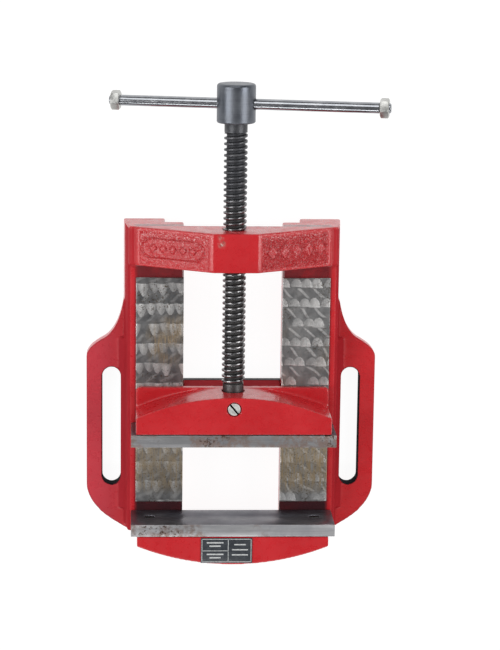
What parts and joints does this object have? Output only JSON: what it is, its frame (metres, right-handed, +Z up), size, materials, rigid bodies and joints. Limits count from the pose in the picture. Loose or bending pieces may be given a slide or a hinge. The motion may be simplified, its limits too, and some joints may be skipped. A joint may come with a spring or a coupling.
{
  "type": "bench vise",
  "caption": "Low drill-press style machine vise: cast red bed with slotted side flanges, fixed jaw, sliding jaw on machined ways, lead screw in a tapped crossbeam, sliding tommy bar.",
  "frame": {"origin": "on the base plane, in the middle of the web under the fixed jaw, on the plane of symmetry", "axes": "+Z up from the base, +Y along the lead screw from the handle towards the fixed jaw, +X to the right seen from the handle"},
  "size_m": [0.2216, 0.358, 0.0796],
  "materials": {
    "red_paint": "gloss red paint over rough cast iron, machined tops of the ways left bare",
    "jaw_steel": "ground jaw plates with light rust stains",
    "screw_steel": "dark oiled steel",
    "blued_steel": "blue-grey satin steel",
    "fastener_steel": "black oxide fasteners",
    "zinc_bar": "bright zinc plate",
    "zinc_small": "dull zinc plate",
    "label_black": "black nameplate with white rules"
  },
  "bodies": {
    "base": {"body_casting": "red_paint", "fixed_jaw_plate": "jaw_steel", "fixed_plate_screw_left": "fastener_steel", "fixed_plate_screw_right": "fastener_steel", "label_plate": "label_black"},
    "carriage": {"moving_jaw": "red_paint", "moving_jaw_plate": "jaw_steel", "moving_plate_screw_left": "fastener_steel", "moving_plate_screw_right": "fastener_steel", "retaining_screw": "zinc_small", "keep_plate": "screw_steel", "keep_bolt_left": "fastener_steel", "keep_bolt_right": "fastener_steel", "keep_washer_left": "zinc_small", "keep_washer_right": "zinc_small"},
    "spindle": {"lead_screw": "screw_steel", "handle_head": "blued_steel"},
    "bar": {"tommy_bar": "zinc_bar", "bar_nut_left": "zinc_small", "bar_nut_right": "zinc_small"}
  },
  "joints": [
    {"name": "jaw_slide", "type": "slide", "parent": "base", "child": "carriage", "axis": [0, 1, 0], "range_m": [-0.0858, 0.0593]},
    {"name": "screw_turn", "type": "hinge", "parent": "carriage", "child": "spindle", "pos_m": [0, -0.109, 0.049], "axis": [0, 1, 0], "range_deg": [-7290, 5040]},
    {"name": "bar_slide", "type": "slide", "parent": "spindle", "child": "bar", "axis": [-0.9781, 0, 0.2079], "range_m": [-0.0907, 0.0717]}
  ],
  "couplings": [
    {"joint": "jaw_slide", "follows": "screw_turn", "m_per_rad": 0.00067376}
  ]
}
